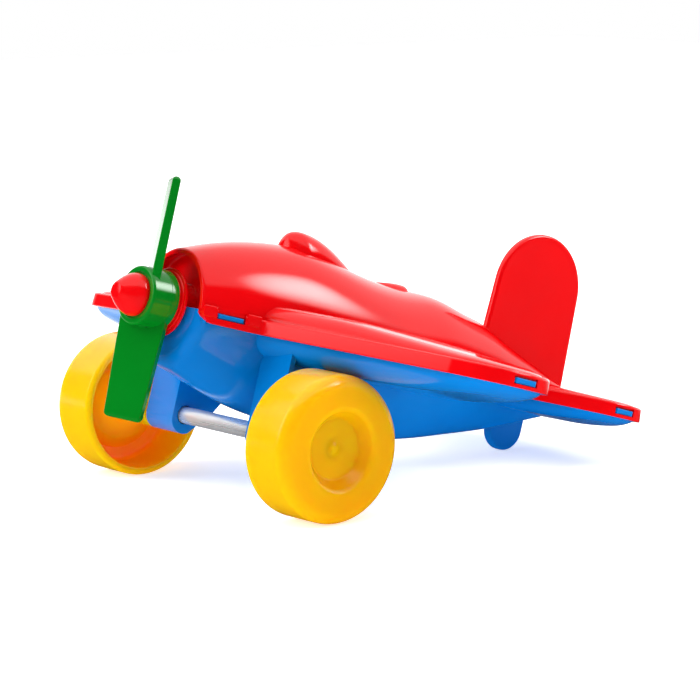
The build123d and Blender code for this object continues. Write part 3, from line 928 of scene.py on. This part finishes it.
def make_clip():
    """Ring pressed on the shank inside the nose."""
    front, rear, outer, edge = -23.3, -19.9, 6.0, 0.3
    profile = [(front, SHANK_RADIUS), (front, outer - edge), (front + edge, outer)]
    profile += [(rear - edge, outer), (rear, outer - edge), (rear, SHANK_RADIUS)]
    return lathe("shaft_clip_ring", profile, PROP_AXIS, False, 64)


# ------------------------------------------------------------------ stage, light and camera

BEYOND = (-0.77, 0.63, 0.0)  # horizontally away from the viewer
FLOOR_HALF = 2.3
FLOOR_GLOW = 0.55
PAPER = (0.93, 0.93, 0.93, 1)
MIRRORED_PAPER = (0.04, 0.04, 0.04, 1)

# What lights the toy: a base level, and patches that grow from one facing to another to a brightness
SKY_BASE = 0.30
SKY = [((0, 0, 1), 0.0, 0.9, 0.30), (BEYOND, -0.1, 0.9, 0.25)]
# What gloss picks up instead: a white ceiling, a strip beyond the toy, a bright window behind to port
# and a dimmer one ahead of the nose
MIRRORED_BASE = 0.03
MIRRORED = [
    ((-0.30, 0.42, 0.86), 0.42, 0.50, 0.95),
    (BEYOND, 0.75, 0.9, 0.5),
    ((0.504, 0.682, 0.530), 0.958, 0.997, 13.0),
    ((-0.52, -0.715, 0.465), 0.94, 0.99, 2.0),
]

# Soft boxes: name, place, point aimed at, size, watts
LAMPS = [
    ("overhead_box", (-0.2, 0.2, 1.36), (-0.2, 0.2, 0), (2.6, 2.6), 30.0),
    ("nose_box", (-0.75, -1.15, 0.75), (0, 0, 0.06), (0.7, 0.7), 14.0),
    ("aft_box", (0.73, 0.93, 0.83), (0, 0, 0.06), (0.46, 0.26), 5.4),
]

CAMERA_TURN = 50.61
CAMERA_RISE = 8.86
CAMERA_LENS = 150.7
CAMERA_FROM_AXLE = (0.79697, -0.59701, 0.18068)


def make_stage():
    """Pale floor sheet, which gloss sees dim on the viewer's side."""
    mesh = bpy.data.meshes.new("studio_floor")
    half = FLOOR_HALF
    corners = [(-half, -half, 0), (half, -half, 0), (half, half, 0), (-half, half, 0)]
    mesh.from_pydata(corners, [], [(0, 1, 2, 3)])
    floor = bpy.data.objects.new("studio_floor", mesh)
    bpy.context.collection.objects.link(floor)
    material, tree, paper = blank_material("floor_paper")
    paper.inputs["Base Color"].default_value = PAPER
    paper.inputs["Roughness"].default_value = 0.9
    paper.inputs["Specular IOR Level"].default_value = 0.1
    paper.inputs["Emission Color"].default_value = (1, 1, 1, 1)
    paper.inputs["Emission Strength"].default_value = FLOOR_GLOW
    dim = add(tree, "ShaderNodeBsdfDiffuse", Color=MIRRORED_PAPER)
    path = add(tree, "ShaderNodeLightPath")
    coords = add(tree, "ShaderNodeTexCoord")
    beyond = add(tree, "ShaderNodeVectorMath", operation="DOT_PRODUCT")
    beyond.inputs[1].default_value = BEYOND
    tree.links.new(coords.outputs["Object"], beyond.inputs[0])
    shade = add(tree, "ShaderNodeMath", operation="MULTIPLY")
    tree.links.new(ramp(tree, beyond.outputs["Value"], 0.08, 0.25, 1.0, 0.0), shade.inputs[0])
    tree.links.new(path.outputs["Is Glossy Ray"], shade.inputs[1])
    mix = add(tree, "ShaderNodeMixShader")
    tree.links.new(shade.outputs["Value"], mix.inputs[0])
    tree.links.new(paper.outputs["BSDF"], mix.inputs[1])
    tree.links.new(dim.outputs["BSDF"], mix.inputs[2])
    tree.links.new(mix.outputs["Shader"], tree.nodes["Material Output"].inputs["Surface"])
    mesh.materials.append(material)


def softbox(name, place_at, aim, size, watts):
    """Rectangular area light aimed at a point, which gloss doesn't show."""
    data = bpy.data.lights.new(name, "AREA")
    data.shape = "RECTANGLE"
    data.size, data.size_y = size
    data.energy = watts
    lamp = bpy.data.objects.new(name, data)
    bpy.context.collection.objects.link(lamp)
    lamp.visible_glossy = False
    lamp.location = place_at
    lamp.rotation_mode = "QUATERNION"
    lamp.rotation_quaternion = (Vector(place_at) - Vector(aim)).to_track_quat("Z", "Y")


def make_world():
    """White to the camera, soft light on the toy, and a plain studio in its gloss."""
    world = bpy.data.worlds.new("studio_white")
    bpy.context.scene.world = world
    world.use_nodes = True
    tree = world.node_tree
    background = tree.nodes["Background"]
    coords = add(tree, "ShaderNodeTexCoord")

    def facing(direction, low, high, amount):
        dot = add(tree, "ShaderNodeVectorMath", operation="DOT_PRODUCT")
        dot.inputs[1].default_value = direction
        tree.links.new(coords.outputs["Generated"], dot.inputs[0])
        return ramp(tree, dot.outputs["Value"], low, high, 0.0, amount)

    def total(base, patches):
        level = None
        for patch in patches:
            node = add(tree, "ShaderNodeMath", operation="ADD")
            node.inputs[0].default_value = base
            if level:
                tree.links.new(level, node.inputs[0])
            tree.links.new(facing(*patch), node.inputs[1])
            level = node.outputs["Value"]
        return level

    path = add(tree, "ShaderNodeLightPath")
    level = add(tree, "ShaderNodeMix", data_type="FLOAT")
    tree.links.new(path.outputs["Is Glossy Ray"], level.inputs["Factor"])
    tree.links.new(total(SKY_BASE, SKY), level.inputs["A"])
    tree.links.new(total(MIRRORED_BASE, MIRRORED), level.inputs["B"])
    seen = add(tree, "ShaderNodeMix", data_type="FLOAT")
    tree.links.new(path.outputs["Is Camera Ray"], seen.inputs["Factor"])
    tree.links.new(level.outputs["Result"], seen.inputs["A"])
    seen.inputs["B"].default_value = 1.0
    tree.links.new(seen.outputs["Result"], background.inputs["Strength"])
    background.inputs["Color"].default_value = (1, 1, 1, 1)


def make_camera():
    """Camera ahead of the port wing, low, on a long lens."""
    turn, rise = math.radians(CAMERA_TURN), math.radians(CAMERA_RISE)
    level = math.cos(rise)
    back = Vector((math.sin(turn) * level, -math.cos(turn) * level, math.sin(rise)))
    data = bpy.data.cameras.new("camera")
    data.sensor_width = 36.0
    data.lens = CAMERA_LENS
    data.clip_start, data.clip_end = 0.05, 100.0
    camera = bpy.data.objects.new("camera", data)
    bpy.context.collection.objects.link(camera)
    camera.location = AXLE + Vector(CAMERA_FROM_AXLE)
    camera.rotation_mode = "QUATERNION"
    camera.rotation_quaternion = back.to_track_quat("Z", "Y")
    bpy.context.scene.camera = camera


# ------------------------------------------------------------------ the toy

red = plastic("glossy_red", (0.74, 0.0, 0.002), (0.69, 0.0, 0.002), 0.11)
blue = plastic("glossy_blue", (0.0, 0.18, 0.57), (0.0, 0.16, 0.53), 0.11)
yellow = plastic("glossy_yellow", (0.84, 0.425, 0.001), (0.81, 0.40, 0.001), 0.19, 1.0)
green = plastic("glossy_green", (0.0, 0.18, 0.010), (0.0, 0.16, 0.008), 0.11)
white = plastic("plain_white", (0.75, 0.75, 0.73), (0.70, 0.70, 0.68), 0.39)
metal = steel("bare_steel")

place(make_upper_shell(), "upper_shell", "airframe", red)
place(make_fin(), "fin", "airframe", red)
place(make_lower_shell(), "lower_shell", "airframe", blue)
place(make_snap_hooks(), "snap_hooks", "airframe", blue)
place(make_tail_skid(), "tail_skid", "airframe", blue)
place(make_collar(), "prop_collar", "airframe", red)
leg = make_leg()
place(opposite(leg, "leg_box_starboard"), "leg_right", "airframe", blue)
place(leg, "leg_left", "airframe", blue)
wheel = make_wheel()
place(opposite(wheel, "wheel_starboard"), "wheel_right", "wheelset", yellow)
place(wheel, "wheel_left", "wheelset", yellow)
place(make_axle(), "axle", "wheelset", metal)
place(make_propeller(), "propeller", "rotor", green)
place(make_spinner(), "spinner", "rotor", red)
place(make_clip(), "shaft_clip", "rotor", white)

make_stage()
make_world()
for lamp in LAMPS:
    softbox(*lamp)
make_camera()
bpy.context.scene.view_settings.view_transform = "Standard"
